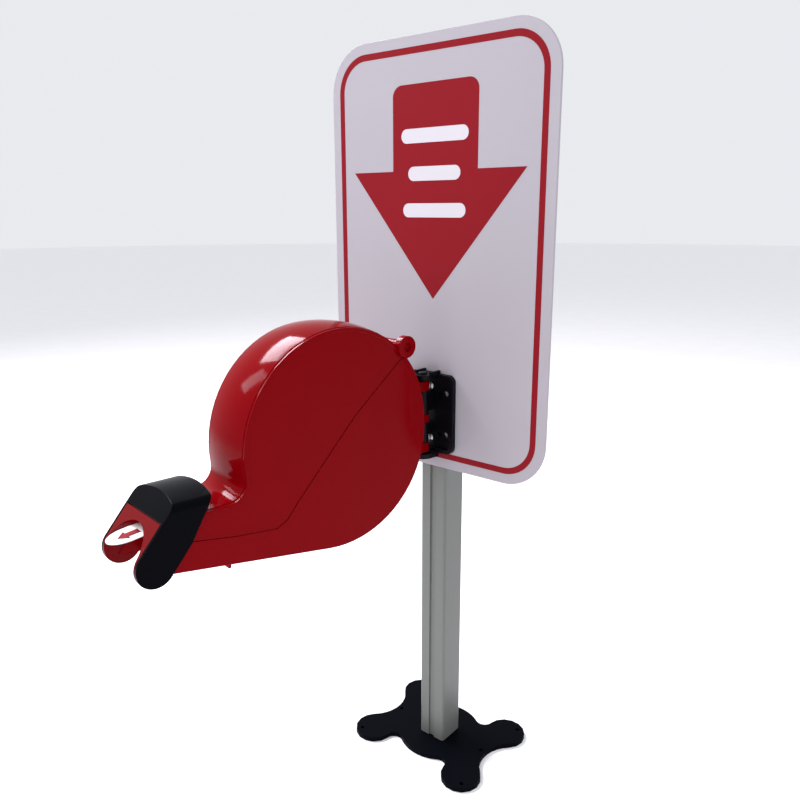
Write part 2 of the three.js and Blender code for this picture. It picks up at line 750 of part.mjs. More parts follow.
// A rib across the trough that holds the tickets up at the mouth.
function ticketRest() {
  return box(-13, 13, -264.5, -262, 303, TICKET.z - GAP);
}

function frontCover() {
  const { earRadius, earOuter, pinRadius, pinRecess, recessRadius } = HINGE;
  const reach = BODY.halfWidth + 5;
  let cover = bodyShell(rimProfile()).intersect(prism(coverRegion(0), 'x', -reach, reach));
  cover = cover.subtract(bridgeRegion(GAP));
  cover = cover.subtract(hingeBar(HINGE.barrelRadius + 2 * GAP, -HINGE.earInner, HINGE.earInner));
  for (const [from, to] of earSpans) {
    cover = cover.add(hingeBar(earRadius, from, to));
    const recess = to > 0 ? [to - pinRecess, to + 1] : [from - 1, from + pinRecess];
    cover = cover.subtract(hingeBar(recessRadius, ...recess));
  }
  cover = cover.subtract(hingeBar(pinRadius + GAP, -earOuter - 1, earOuter + 1));
  const springSeat = BODY.neckTop - 6 + SPRING.thickness + GAP;
  return geometryOf(
    cover.add(box(-5, 5, SPRING.rearY - 7, SPRING.rearY - 0.5, springSeat, BODY.neckTop + 1)),
  );
}

function hingePin() {
  const half = HINGE.earOuter - HINGE.pinRecess - 0.2;
  return geometryOf(hingeBar(HINGE.pinRadius, -half, half));
}

// ---------- Snout ----------

// Side view of the saddle and its legs; its top is drawn high and trimmed by the cross-section.
function saddleOutline() {
  const { legWidth, lobeRadius, lobeAlong, rearY, frontY, topZ } = SADDLE;
  const centre = facePoint(lobeAlong, lobeRadius);
  const down = degrees(Math.atan2(FACE_DOWN.y, FACE_DOWN.x));
  const spare = 2.4;
  return polygonShape([
    new THREE.Vector2(rearY + 0.6 * spare, topZ + spare),
    new THREE.Vector2(frontY + 0.9 * spare, topZ + spare),
    facePoint(0, 0),
    ...arc(centre.x, centre.y, lobeRadius, down - 90, down + 90, 16),
    facePoint(2, legWidth + 0.4),
  ]);
}

// Cross-section of the saddle, drawn as (z, x): a gently arched top with round shoulders.
function saddleSection(inset) {
  const { halfWidth, topZ, crownRadius, edgeRadius, edgeX, edgeZ } = SADDLE;
  const half = halfWidth - inset;
  const bottom = 250 + inset;
  const radius = edgeRadius - inset;
  const crownZ = topZ - crownRadius;
  const tangent = degrees(Math.atan2(edgeX, edgeZ - crownZ));
  return polygonShape([
    new THREE.Vector2(bottom, -half),
    ...arc(edgeZ, -edgeX, radius, -90, -tangent, 6),
    ...arc(crownZ, 0, crownRadius - inset, -tangent, tangent, 10).slice(1, -1),
    ...arc(edgeZ, edgeX, radius, tangent, 90, 6),
    new THREE.Vector2(bottom, half),
  ]);
}

const screwSpot = facePoint(CHEEK_SCREW.along, CHEEK_SCREW.depth);

function screwBore(from, to) {
  return bar('x', screwSpot.x, screwSpot.y, CHEEK_SCREW.shankRadius + GAP, from, to, 12);
}

// The saddle is hollow below, with a wall at its back that stops short of the neck.
function snoutSaddle() {
  const { halfWidth, wall, rearY, frontY, topZ } = SADDLE;
  const outer = prism(saddleOutline(), 'x', -halfWidth, halfWidth)
    .intersect(prism(saddleSection(0), 'y', -320, -200));
  const overNeck = BODY.neckTop + BODY.crownHeight + 2 * GAP;
  const lowRear = rearY - 0.6 * (topZ - overNeck);
  const hollow = polygonShape([
    new THREE.Vector2(rearY - wall, topZ), new THREE.Vector2(frontY + 1, topZ - wall - GAP),
    facePoint(0, wall), facePoint(0, -3), facePoint(60, -30), new THREE.Vector2(-200, 240),
    new THREE.Vector2(-200, overNeck), new THREE.Vector2(lowRear - wall, overNeck),
  ]);
  const inside = prism(saddleSection(wall), 'y', -340, -190).intersect(prism(hollow, 'x', -halfWidth, halfWidth));
  const skin = 0.8;
  return geometryOf(
    outer.subtract(inside)
      .subtract(screwBore(skin - halfWidth, wall - halfWidth + 1))
      .subtract(screwBore(halfWidth - wall - 1, halfWidth - skin)),
  );
}

// The red nose: a roof over the ticket with a cheek down each side, under the saddle.
function nose() {
  const { halfWidth, wall, lobeAlong, lobeRadius } = SADDLE;
  const half = halfWidth - wall - GAP;
  const lobe = facePoint(lobeAlong, lobeRadius);
  const down = degrees(Math.atan2(FACE_DOWN.y, FACE_DOWN.x));
  const depth = BODY.noseDepth - GAP;
  const outline = polygonShape([
    facePoint(-11.5, depth),
    facePoint(-11.5, 4.2),
    facePoint(0.9, 2.8),
    facePoint(0.9, 0),
    ...arc(lobe.x, lobe.y, lobeRadius, down - 90, down + 90, 16),
    facePoint(20, 2 * lobeRadius),
  ]);
  const behind = 3 * lobeRadius;
  const clear = 1.3 * GAP;
  const bodyEnd = polygonShape([
    facePoint(-30, depth), facePoint(floorAlong(depth) + clear, depth),
    facePoint(floorAlong(behind) + clear, behind), facePoint(-30, behind),
  ]);
  return geometryOf(
    prism(outline, 'x', -half, half)
      .intersect(prism(saddleSection(wall + GAP), 'y', -340, -190))
      .subtract(prism(bodyEnd, 'x', -half - 1, half + 1))
      .subtract(prism(archOutline(), 'y', -340, -200))
      .subtract(screwBore(-half - 1, 1 - NOSE.archHalfWidth))
      .subtract(screwBore(NOSE.archHalfWidth - 1, half + 1)),
  );
}

function archOutline() {
  const { archHalfWidth, archTopZ, archShoulderZ } = NOSE;
  const points = [];
  const steps = 18;
  for (let i = 0; i <= steps; i += 1) {
    const angle = (Math.PI * i) / steps;
    const z = archShoulderZ + (archTopZ - archShoulderZ) * Math.sin(angle);
    points.push(new THREE.Vector2(z, -archHalfWidth * Math.cos(angle)));
  }
  points.push(new THREE.Vector2(250, archHalfWidth), new THREE.Vector2(250, -archHalfWidth));
  return polygonShape(points);
}

// Small pan head screw along +X that holds a saddle leg to its cheek.
function cheekScrew() {
  const { headRadius, headHeight, shankRadius, shankLength } = CHEEK_SCREW;
  const profile = [
    [0, -headHeight], [headRadius * 0.7, -headHeight], [headRadius, -headHeight * 0.4],
    [headRadius, -0.1], [shankRadius, -0.1], [shankRadius, shankLength], [0, shankLength],
  ].map(([r, y]) => new THREE.Vector2(r, y));
  return new THREE.LatheGeometry(profile, 12).rotateZ(-Math.PI / 2);
}

// ---------- Tickets ----------

function ticketRoll() {
  const { outerRadius, innerRadius, halfWidth } = ROLL;
  const paper = bar('x', DRUM.y, DRUM.z, outerRadius, -halfWidth, halfWidth, 48);
  return geometryOf(paper.subtract(bar('x', DRUM.y, DRUM.z, innerRadius, -halfWidth - 1, halfWidth + 1, 28)));
}

function rollCore() {
  const { outerRadius, innerRadius, halfWidth } = CORE;
  const tube = bar('x', DRUM.y, DRUM.z, outerRadius, -halfWidth, halfWidth, 28);
  return geometryOf(tube.subtract(bar('x', DRUM.y, DRUM.z, innerRadius, -halfWidth - 1, halfWidth + 1, 24)));
}

function spindle() {
  const { radius, halfLength } = SPINDLE;
  return geometryOf(bar('x', DRUM.y, DRUM.z, radius, -halfLength + 3, halfLength - 3, 24));
}

// The ticket that sticks out, with a round tip.
function ticket() {
  const { halfWidth, thickness, z, tipY, tearY, tipLength } = TICKET;
  const points = [];
  const steps = 16;
  for (let i = 0; i <= steps; i += 1) {
    const angle = (Math.PI * i) / steps;
    const x = halfWidth * Math.cos(angle);
    points.push(new THREE.Vector2(x, tipY + tipLength - tipLength * Math.sin(angle)));
  }
  points.push(new THREE.Vector2(-halfWidth, tearY), new THREE.Vector2(halfWidth, tearY));
  return geometryOf(prism(polygonShape(points.reverse()), 'z', z, z + thickness));
}

// The run of tickets between the roll and the tear line.
function ticketWeb() {
  const { halfWidth, thickness, z, tearY } = TICKET;
  const start = { y: tearY + GAP, z };
  const bend = { y: -240, z };
  const dy = DRUM.y - bend.y;
  const dz = DRUM.z - bend.z - thickness;
  const reach = Math.hypot(dy, dz);
  const angle = Math.atan2(dz, dy) - Math.asin((ROLL.outerRadius + thickness + GAP) / reach);
  const run = Math.sqrt(reach ** 2 - (ROLL.outerRadius + thickness + GAP) ** 2) - 2;
  const end = { y: bend.y + run * Math.cos(angle), z: bend.z + run * Math.sin(angle) };
  const side = shapeFrom([
    [start.y, start.z], [bend.y, bend.z], [end.y, end.z],
    [end.y, end.z + thickness], [bend.y, bend.z + thickness], [start.y, start.z + thickness],
  ]);
  return geometryOf(prism(side, 'x', -halfWidth, halfWidth));
}

// Leaf spring under the neck that keeps the ticket flat at the mouth.
function brakeSpring() {
  const { halfWidth, thickness, rearY, frontY, padLength } = SPRING;
  const low = TICKET.z + TICKET.thickness + GAP;
  const high = BODY.neckTop - 6;
  const side = shapeFrom([
    [rearY, high], [rearY - 8, high], [frontY + padLength, low], [frontY + 2, low], [frontY, low + 2],
    [frontY - 0.2, low + 2 + thickness], [frontY + 1.8, low + thickness],
    [frontY + padLength, low + thickness], [rearY - 8, high + thickness], [rearY, high + thickness],
  ]);
  return geometryOf(prism(side, 'x', -halfWidth, halfWidth));
}

// The squeeze tab under the body: a finger tip outside, a guide block inside.
function latchTab() {
  const { y, width, halfWidth, tipZ, topZ } = LATCH;
  const side = shapeFrom([
    [y - width / 2, topZ], [y - width / 2, 285.5], [y + 1, tipZ], [y + width / 2 - 0.8, tipZ],
    [y + width / 2, tipZ + 1], [y + width / 2, topZ],
  ]);
  return geometryOf(prism(side, 'x', -halfWidth, halfWidth));
}

// ---------- Assembly ----------

function addMesh(parent, name, geometry, finish, position = [0, 0, 0]) {
  const mesh = new THREE.Mesh(geometry, finish);
  mesh.name = name;
  mesh.position.set(...position);
  parent.add(mesh);
}

const group = new THREE.Group();

addMesh(group, 'foot_plate', footPlate(), black(0.55));
footScrewSpots.forEach(([x, y], i) => {
  addMesh(group, `foot_screw_${i + 1}`, screwProfile(0), steel(), [x, y, 0]);
});
addMesh(group, 'pole', pole(), material(0xb4b5b0, 0.45, 0.9));
addMesh(group, 'pole_cap', poleCap(), black());
addMesh(group, 'sign_panel', sign(), material(0xd9d7da, 0.5, 0));
addMesh(group, 'bracket', bracket(), black(0.4));
[['lower', FIXING.lowZ], ['upper', FIXING.highZ]].forEach(([name, z]) => {
  const inside = -POLE.side / 2 + POLE.grooveDepth + POLE.wall;
  addMesh(group, `fixing_screw_${name}`, fixingScrew(), steel(), [0, plateFront, z]);
  addMesh(group, `fixing_nut_${name}`, fixingNut(), steel(), [0, inside, z]);
});
addMesh(group, 'swivel_pin', swivelPin(), black(), [0, SWIVEL.y, 0]);

const dispenser = new THREE.Group();
dispenser.position.set(0, SWIVEL.y, 0);
dispenser.rotation.z = YAW;
group.add(dispenser);

addMesh(dispenser, 'rear_shell', rearShell(), red());
addMesh(dispenser, 'front_cover', frontCover(), red(0.25));
addMesh(dispenser, 'hinge_pin', hingePin(), red());
addMesh(dispenser, 'snout_saddle', snoutSaddle(), black(0.4));
addMesh(dispenser, 'nose', nose(), red(0.35));
const screwAt = [screwSpot.x, screwSpot.y];
addMesh(dispenser, 'cheek_screw_right', cheekScrew(), black(), [NOSE.archHalfWidth, ...screwAt]);
addMesh(dispenser, 'cheek_screw_left', cheekScrew().rotateZ(Math.PI), black(), [-NOSE.archHalfWidth, ...screwAt]);
addMesh(dispenser, 'brake_spring', brakeSpring(), steel());
addMesh(dispenser, 'latch_tab', latchTab(), red());
addMesh(dispenser, 'spindle', spindle(), material(0xe6e6e2, 0.5, 0));
addMesh(dispenser, 'roll_core', rollCore(), material(0xb9a583, 0.8, 0));
addMesh(dispenser, 'ticket_roll', ticketRoll(), material(0xf2f1ee, 0.8, 0));
addMesh(dispenser, 'ticket_web', ticketWeb(), material(0xf2f1ee, 0.8, 0));
addMesh(dispenser, 'ticket', ticket(), material(0xf2f1ee, 0.8, 0));

export default group;
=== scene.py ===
# Take-a-ticket stand: finishes, printed sign, drooping ticket, light and camera.
# Metres, +Z up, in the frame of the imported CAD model. The sign faces -Y.

import json
import math

import bmesh
import bpy
from mathutils import Matrix, Vector


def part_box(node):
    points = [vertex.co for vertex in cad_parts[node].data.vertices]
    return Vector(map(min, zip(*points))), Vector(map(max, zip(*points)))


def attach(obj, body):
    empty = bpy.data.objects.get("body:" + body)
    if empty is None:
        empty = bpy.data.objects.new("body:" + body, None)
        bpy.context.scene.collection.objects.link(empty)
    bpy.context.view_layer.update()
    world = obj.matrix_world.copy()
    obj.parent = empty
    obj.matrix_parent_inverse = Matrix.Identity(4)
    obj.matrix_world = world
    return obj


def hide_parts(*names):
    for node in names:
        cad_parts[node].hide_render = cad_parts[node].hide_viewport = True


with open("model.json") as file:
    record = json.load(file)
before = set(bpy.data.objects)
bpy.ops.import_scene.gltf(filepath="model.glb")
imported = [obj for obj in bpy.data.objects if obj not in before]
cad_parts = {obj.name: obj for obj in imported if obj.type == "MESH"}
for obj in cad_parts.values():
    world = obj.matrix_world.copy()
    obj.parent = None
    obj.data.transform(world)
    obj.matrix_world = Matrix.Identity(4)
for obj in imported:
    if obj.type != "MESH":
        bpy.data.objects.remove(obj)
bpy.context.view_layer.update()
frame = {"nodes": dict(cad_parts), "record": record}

MM = 0.001

# Angles in degrees, the azimuth counted from -Y towards +X; sensor and lens in mm.
CAMERA = {
    "azimuth": 40.05,
    "elevation": 14.09,
    "roll": -0.21,
    "position": (0.43023, -0.57686, 0.55304),
    "sensor": 36.0,
    "lens": 34.4,
}

DAYLIGHT = (0.97, 0.91, 1.0)
PLAIN = (1.0, 1.0, 1.0)
WARM = (1.0, 0.98, 0.96)

# Name, position, size in metres, power in watts and colour. Every light aims at the drum.
LIGHT_AIM = (-0.03, -0.17, 0.42)
LIGHTS = [
    ("window_upper", (-1.42, 0.0, 1.85), (0.95, 0.42), 54, DAYLIGHT),
    ("window_lower", (-1.5, -0.9, 1.5), (0.34, 0.62), 8, DAYLIGHT),
    ("key_front", (-0.4, -2.0, 2.0), (1.6, 1.6), 15, PLAIN),
    ("fill_right", (1.9, -1.1, 1.3), (1.6, 1.6), 1.2, WARM),
    ("rim_right", (1.5, 1.5, 0.95), (0.5, 0.5), 1.2, DAYLIGHT),
    ("rim_back", (0.75, 1.2, 1.9), (0.7, 0.4), 7, DAYLIGHT),
]
WORLD = {"color": (0.95, 0.96, 1.0), "strength": 0.86}
FLOOR = {"radius": 12, "sides": 96}

# The dispenser is turned about the swivel axis.
SWIVEL_Y = -32 * MM
YAW = math.radians(-8)

SIGN_CORNER = 42 * MM
BORDER = {"inset": 9.5 * MM, "width": 5.7 * MM}
ARROW = {
    "shaft_half": 47 * MM,
    "shaft_top": 659 * MM,
    "shaft_corner": 10 * MM,
    "wing_half": 95.3 * MM,
    "wing_z": 585.5 * MM,
    "tip_z": 471.8 * MM,
}
# Half width and middle height of each white bar that stands in for a row of words.
BARS = [(37 * MM, 615.5 * MM), (29 * MM, 583 * MM), (35 * MM, 551 * MM)]
BAR_HALF_HEIGHT = 6.2 * MM
BAR_END_RADIUS = 0.98 * BAR_HALF_HEIGHT
INK = 0.08 * MM

# Values of y are in the dispenser's own frame, where the ticket comes out towards -Y.
TICKET = {
    "half": 12 * MM,
    "z": 331.3 * MM,
    "tear": -262 * MM,
    "tip": -305.5 * MM,
    "tip_round": 16 * MM,
    "thickness": 0.16 * MM,
    "curl": 0.35 * MM,
    "droop": 1.3 * MM,
    "droop_start": -268 * MM,
    "lean": 0.17,
    "lean_start": -272 * MM,
}
TICKET_ARROW = {
    "head": -297 * MM,
    "neck": -290 * MM,
    "tail": -280 * MM,
    "head_half": 6.6 * MM,
    "shaft_half": 3.2 * MM,
    "step": 0.01 * MM,
    "ink": 0.03 * MM,
}
NARROWEST = 0.05 * MM

# Edges turning by more than SHARP degrees stay sharp, and on the flat sides so do shallower ones.
SHARP = 32
SHARP_ON_SIDES = 1
SIDE_FACING = 0.98
JOIN = 0.005 * MM

# The width of the rounding on a node's edges, where it isn't the plain one.
PLAIN_EDGE = 0.25 * MM
EDGES = {
    "foot_plate": 0.5 * MM,
    "pole": 0.2 * MM,
    "sign_panel": 0.35 * MM,
    "bracket": 0.5 * MM,
    "rear_shell": 0.3 * MM,
    "front_cover": 0.3 * MM,
    "snout_saddle": 0.6 * MM,
    "nose": 0.4 * MM,
    "latch_tab": 0.8 * MM,
}

# What the finishes have in common. Noise scales are in waves per metre.
MOTTLE = {"scale": 14.0, "detail": 3.0}
SMEAR = {"scale": 30.0, "detail": 5.0, "low": 0.3, "high": 0.7}
GRAIN = {"detail": 2.0, "depth": 0.2 * MM}
DUST = {"scale": 60.0, "detail": 6.0, "low": 0.45, "high": 0.75, "color": (0.5, 0.48, 0.45)}
DUST_SLOPE = {"low": 0.5, "high": 1.0}

# The sockets of a Mix node that are used when it mixes colours.
MIX_FACTOR = 0
MIX_FIRST = 6
MIX_SECOND = 7
MIX_RESULT = 2

RED = (0.198, 0.0004, 0.0026)

# Each finish by name; what isn't given here is make_finish's own value.
FINISHES = {
    "foot_black": {
        "color": (0.0012, 0.0018, 0.0035), "roughness": 0.5, "specular": 0.02,
        "grain": 0.4, "grain_scale": 1400,
    },
    "pin_black": {"color": (0.01, 0.01, 0.012), "roughness": 0.4, "dust": 0.05},
    "screw_steel": {"color": (0.5, 0.51, 0.53), "roughness": 0.3, "metallic": 1.0, "grain": 0.2},
    "pole_aluminium": {
        "color": (0.175, 0.185, 0.172), "roughness": 0.36, "metallic": 0.2, "variation": 0.04,
        "roughness_spread": 0.06, "grain": 0.25, "grain_scale": 500, "stretch": (1, 1, 0.02),
    },
    "cap_black": {"color": (0.015, 0.015, 0.017), "roughness": 0.55, "dust": 0.15},
    "sign_white": {
        "color": (0.41, 0.39, 0.425), "roughness": 0.5, "variation": 0.02,
        "grain": 0.12, "grain_scale": 1200,
    },
    "bracket_black": {"color": (0.003, 0.003, 0.005), "roughness": 0.36, "grain": 0.3},
    "shell_red": {
        "color": RED, "roughness": 0.12, "specular": 0.043, "variation": 0.04,
        "roughness_spread": 0.03, "grain": 0.02,
    },
    "cover_red": {
        "color": RED, "roughness": 0.09, "specular": 0.043, "variation": 0.04,
        "roughness_spread": 0.03, "grain": 0.015,
    },
    # The nose's colour is the shell red darkened by a quarter: painted shade, because its front faces
    # the key light.
    "nose_red": {
        "color": (0.15, 0.0006, 0.002), "roughness": 0.28, "specular": 0.07, "variation": 0.05,
        "grain": 0.06,
    },
    "saddle_black": {
        "color": (0.0012, 0.0014, 0.0028), "roughness": 0.22, "specular": 0.032, "grain": 0.06,
    },
    "latch_red": {"color": RED, "roughness": 0.35, "variation": 0.06},
    "spindle_white": {"color": (0.75, 0.74, 0.7), "roughness": 0.45, "variation": 0.04},
    "core_card": {
        "color": (0.42, 0.31, 0.19), "roughness": 0.85, "variation": 0.18,
        "grain": 0.6, "grain_scale": 400,
    },
    "ticket_paper": {
        "color": (0.86, 0.85, 0.83), "roughness": 0.75, "variation": 0.02,
        "grain": 0.3, "grain_scale": 700,
    },
    "print_red": {
        "color": (0.235, 0.009, 0.015), "roughness": 0.48, "specular": 0.06, "variation": 0.05,
        "grain": 0.1, "grain_scale": 1200,
    },
    "print_white": {"color": (0.62, 0.60, 0.64), "roughness": 0.5, "variation": 0.02, "grain": 0.1},
}
FLOOR_FINISH = {"color": (0.93, 0.93, 0.94), "roughness": 0.7, "variation": 0.03, "grain": 0.02}


# ---------- Camera, light and floor ----------

def make_camera():
    azimuth = math.radians(CAMERA["azimuth"])
    elevation = math.radians(CAMERA["elevation"])
    back = Vector((
        math.sin(azimuth) * math.cos(elevation),
        -math.cos(azimuth) * math.cos(elevation),
        math.sin(elevation),
    ))
    data = bpy.data.cameras.new("camera")
    data.sensor_width = CAMERA["sensor"]
    data.lens = CAMERA["lens"]
    camera = bpy.data.objects.new("camera", data)
    bpy.context.scene.collection.objects.link(camera)
    camera.location = CAMERA["position"]
    camera.rotation_mode = "QUATERNION"
    roll = Matrix.Rotation(math.radians(CAMERA["roll"]), 3, "Z").to_quaternion()
    camera.rotation_quaternion = (-back).to_track_quat("-Z", "Y") @ roll
    bpy.context.scene.camera = camera


def make_light(name, position, size, power, color):
    data = bpy.data.lights.new(name, "AREA")
    data.shape = "RECTANGLE"
    data.size, data.size_y = size
    data.energy = power
    data.color = color
    light = bpy.data.objects.new(name, data)
    bpy.context.scene.collection.objects.link(light)
    light.location = position
    light.rotation_mode = "QUATERNION"
    light.rotation_quaternion = (Vector(LIGHT_AIM) - Vector(position)).to_track_quat("-Z", "Y")


def make_world():
    world = bpy.data.worlds.new("studio")
    bpy.context.scene.world = world
    world.use_nodes = True
    background = world.node_tree.nodes["Background"]
    background.inputs["Color"].default_value = (*WORLD["color"], 1)
    background.inputs["Strength"].default_value = WORLD["strength"]
    bpy.context.scene.view_settings.view_transform = "Standard"


def make_floor():
    mesh = bpy.data.meshes.new("floor")
    sides = FLOOR["sides"]
    radius = FLOOR["radius"]
    angles = [math.tau * i / sides for i in range(sides)]
    ring = [(radius * math.cos(angle), radius * math.sin(angle), 0) for angle in angles]
    mesh.from_pydata(ring, [], [list(range(sides))])
    floor = bpy.data.objects.new("floor", mesh)
    bpy.context.scene.collection.objects.link(floor)
    mesh.materials.append(make_finish("floor_pale", **FLOOR_FINISH))


# ---------- Finishes ----------

def make_finish(
    name, color, roughness, metallic=0.0, specular=0.12, variation=0.12, roughness_spread=0.05,
    grain=0.1, grain_scale=900.0, stretch=(1, 1, 1), dust=0.0,
):
    """A procedural finish: mottled colour, smeared roughness, fine grain and dust on top faces."""
    material = bpy.data.materials.new(name)
    material.use_nodes = True
    tree = material.node_tree
    shader = tree.nodes["Principled BSDF"]
    shader.inputs["Metallic"].default_value = metallic
    shader.inputs["Specular IOR Level"].default_value = specular
    place = stretched_position(tree, stretch)
    tint = mottled(tree, place, color, variation)
    if dust > 0:
        tint = dusty(tree, place, tint, dust)
    tree.links.new(tint, shader.inputs["Base Color"])
    tree.links.new(smeared(tree, place, roughness, roughness_spread), shader.inputs["Roughness"])
    tree.links.new(grained(tree, place, grain, grain_scale), shader.inputs["Normal"])
    return material


def stretched_position(tree, stretch):
    coordinates = tree.nodes.new("ShaderNodeTexCoord")
    mapping = tree.nodes.new("ShaderNodeMapping")
    mapping.inputs["Scale"].default_value = stretch
    tree.links.new(coordinates.outputs["Object"], mapping.inputs["Vector"])
    return mapping.outputs["Vector"]


def mottled(tree, place, color, variation):
    """The colour, a little darker and lighter from place to place."""
    light = tuple(channel * (1 + variation) for channel in color)
    dark = tuple(channel * (1 - variation) for channel in color)
    return mix_colors(tree, noise(tree, place, MOTTLE["scale"], MOTTLE["detail"]), dark, light)


def dusty(tree, place, tint, amount):
    """Pale dust, in patches, on what faces up."""
    geometry = tree.nodes.new("ShaderNodeNewGeometry")
    split = tree.nodes.new("ShaderNodeSeparateXYZ")
    tree.links.new(geometry.outputs["Normal"], split.inputs["Vector"])
    upward = map_range(tree, split.outputs["Z"], DUST_SLOPE["low"], DUST_SLOPE["high"], 0.0, amount)
    cloud = noise(tree, place, DUST["scale"], DUST["detail"])
    patches = map_range(tree, cloud, DUST["low"], DUST["high"], 0.0, 1.0)
    both = tree.nodes.new("ShaderNodeMath")
    both.operation = "MULTIPLY"
    tree.links.new(upward, both.inputs[0])
    tree.links.new(patches, both.inputs[1])
    return mix_colors(tree, both.outputs["Value"], tint, DUST["color"])


def smeared(tree, place, roughness, spread):
    """The roughness, a little less and more from place to place, as if wiped."""
    smear = noise(tree, place, SMEAR["scale"], SMEAR["detail"])
    return map_range(
        tree, smear, SMEAR["low"], SMEAR["high"], roughness - spread, roughness + spread,
    )


def grained(tree, place, strength, scale):
    """A normal with a fine grain."""
    bump = tree.nodes.new("ShaderNodeBump")
    bump.inputs["Strength"].default_value = strength
    bump.inputs["Distance"].default_value = GRAIN["depth"]
    tree.links.new(noise(tree, place, scale, GRAIN["detail"]), bump.inputs["Height"])
    return bump.outputs["Normal"]


def noise(tree, place, scale, detail):
    texture = tree.nodes.new("ShaderNodeTexNoise")
    texture.inputs["Scale"].default_value = scale
    texture.inputs["Detail"].default_value = detail
    tree.links.new(place, texture.inputs["Vector"])
    return texture.outputs["Fac"]


def map_range(tree, value, from_min, from_max, to_min, to_max):
    node = tree.nodes.new("ShaderNodeMapRange")
    node.inputs["From Min"].default_value = from_min
    node.inputs["From Max"].default_value = from_max
    node.inputs["To Min"].default_value = to_min
    node.inputs["To Max"].default_value = to_max
    tree.links.new(value, node.inputs["Value"])
    return node.outputs["Result"]


def mix_colors(tree, factor, first, second):
    """Mix two colours, each given as a tuple or as a socket, by a factor socket."""
    node = tree.nodes.new("ShaderNodeMix")
    node.data_type = "RGBA"
    tree.links.new(factor, node.inputs[MIX_FACTOR])
    for index, color in ((MIX_FIRST, first), (MIX_SECOND, second)):
        if isinstance(color, tuple):
            node.inputs[index].default_value = (*color, 1)
        else:
            tree.links.new(color, node.inputs[index])
    return node.outputs[MIX_RESULT]


# ---------- Pieces ----------

def add_piece(name, mesh, material, body):
    piece = bpy.data.objects.new(name, mesh)
    bpy.context.scene.collection.objects.link(piece)
    mesh.materials.append(material)
    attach(piece, body)
    return piece


def thicken(build, offset):
    """Turn the sheet being built into a closed solid that reaches from it to the offset."""
    thick = bmesh.ops.extrude_face_region(build, geom=build.faces[:])
    moved = [item for item in thick["geom"] if isinstance(item, bmesh.types.BMVert)]
    bmesh.ops.translate(build, verts=moved, vec=offset)
    bmesh.ops.recalc_face_normals(build, faces=build.faces[:])


def built_mesh(build, name):
    mesh = bpy.data.meshes.new(name)
    build.to_mesh(mesh)
    build.free()
    return mesh


# ---------- CAD nodes ----------

def dress_nodes(materials):
    """Stand a joined, edge rounded copy in for each CAD node but the ticket."""
    slots = {part["node"]: part["material_slot"] for part in frame["record"]["subparts"]}
    bodies = frame["record"]["behaviour"]["bodies"]
    body_of = {node: body for body, nodes in bodies.items() for node in nodes}
    for name in list(frame["nodes"]):
        if name == "ticket":
            continue
        piece = add_piece(f"{name}_finished", clean_mesh(name), materials[slots[name]], body_of[name])
        soften(piece, EDGES.get(name, PLAIN_EDGE))
        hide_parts(name)


def clean_mesh(name):
    """The CAD node's own shape with its triangles joined, and its edges marked smooth or sharp."""
    build = bmesh.new()
    build.from_mesh(frame["nodes"][name].data)
    bmesh.ops.remove_doubles(build, verts=build.verts[:], dist=JOIN)
    bmesh.ops.dissolve_degenerate(build, edges=build.edges[:], dist=JOIN)
    for face in build.faces:
        face.smooth = True
        face.material_index = 0
    for edge in build.edges:
        edge.smooth = not is_sharp(edge)
    return built_mesh(build, f"{name}_finished")


def is_sharp(edge):
    if len(edge.link_faces) != 2:
        return True
    first, second = (face.normal for face in edge.link_faces)
    if first.length == 0 or second.length == 0:
        return False
    across = Vector((math.cos(YAW), math.sin(YAW), 0))
    on_side = abs(first.dot(across)) > SIDE_FACING and abs(second.dot(across)) > SIDE_FACING
    limit = SHARP_ON_SIDES if on_side else SHARP
    return first.angle(second) > math.radians(limit)


def soften(piece, width):
    """A small rounding on every sharp edge, with the flat faces kept flat."""
    bevel = piece.modifiers.new("bevel", "BEVEL")
    bevel.width = width
    bevel.segments = 2
    bevel.limit_method = "ANGLE"
    bevel.angle_limit = math.radians(SHARP)
    bevel.use_clamp_overlap = True
    bevel.loop_slide = False
    weight = piece.modifiers.new("weight", "WEIGHTED_NORMAL")
    weight.keep_sharp = True


# ---------- Printed sign ----------

def quarter_circle(x, z, radius, start, steps):
    """Points about x, z, counterclockwise from the angle start in degrees."""
    angles = [math.radians(start + 90 * i / steps) for i in range(steps + 1)]
    return [(x + radius * math.cos(angle), z + radius * math.sin(angle)) for angle in angles]


def rounded_outline(x0, x1, z0, z1, radius, steps):
    corners = [
        (x1 - radius, z0 + radius, -90),
        (x1 - radius, z1 - radius, 0),
        (x0 + radius, z1 - radius, 90),
        (x0 + radius, z0 + radius, 180),
    ]
    points = []
    for x, z, start in corners:
        points += quarter_circle(x, z, radius, start, steps)
    return points


def border_outline(low, high, inset):
    """The sign's own outline, moved inwards."""
    return rounded_outline(
        low.x + inset, high.x - inset, low.z + inset, high.z - inset, SIGN_CORNER - inset, 14,
    )


def arrow_outline():
    shaft = ARROW["shaft_half"]
    wing = ARROW["wing_half"]
    wing_z = ARROW["wing_z"]
    corner = ARROW["shaft_corner"]
    corner_x = shaft - corner
    corner_z = ARROW["shaft_top"] - corner
    points = [(0, ARROW["tip_z"]), (wing, wing_z), (shaft, wing_z)]
    points += quarter_circle(corner_x, corner_z, corner, 0, 8)
    points += quarter_circle(-corner_x, corner_z, corner, 90, 8)
    points += [(-shaft, wing_z), (-wing, wing_z)]
    return points


def bar_outline(half, z):
    return rounded_outline(-half, half, z - BAR_HALF_HEIGHT, z + BAR_HALF_HEIGHT, BAR_END_RADIUS, 8)


def print_shape(name, outline, y, material):
    """A film of ink with the given outline, on the plane of that y."""
    build = bmesh.new()
    build.faces.new([build.verts.new((x, y, z)) for x, z in outline])
    add_ink(build, name, material)


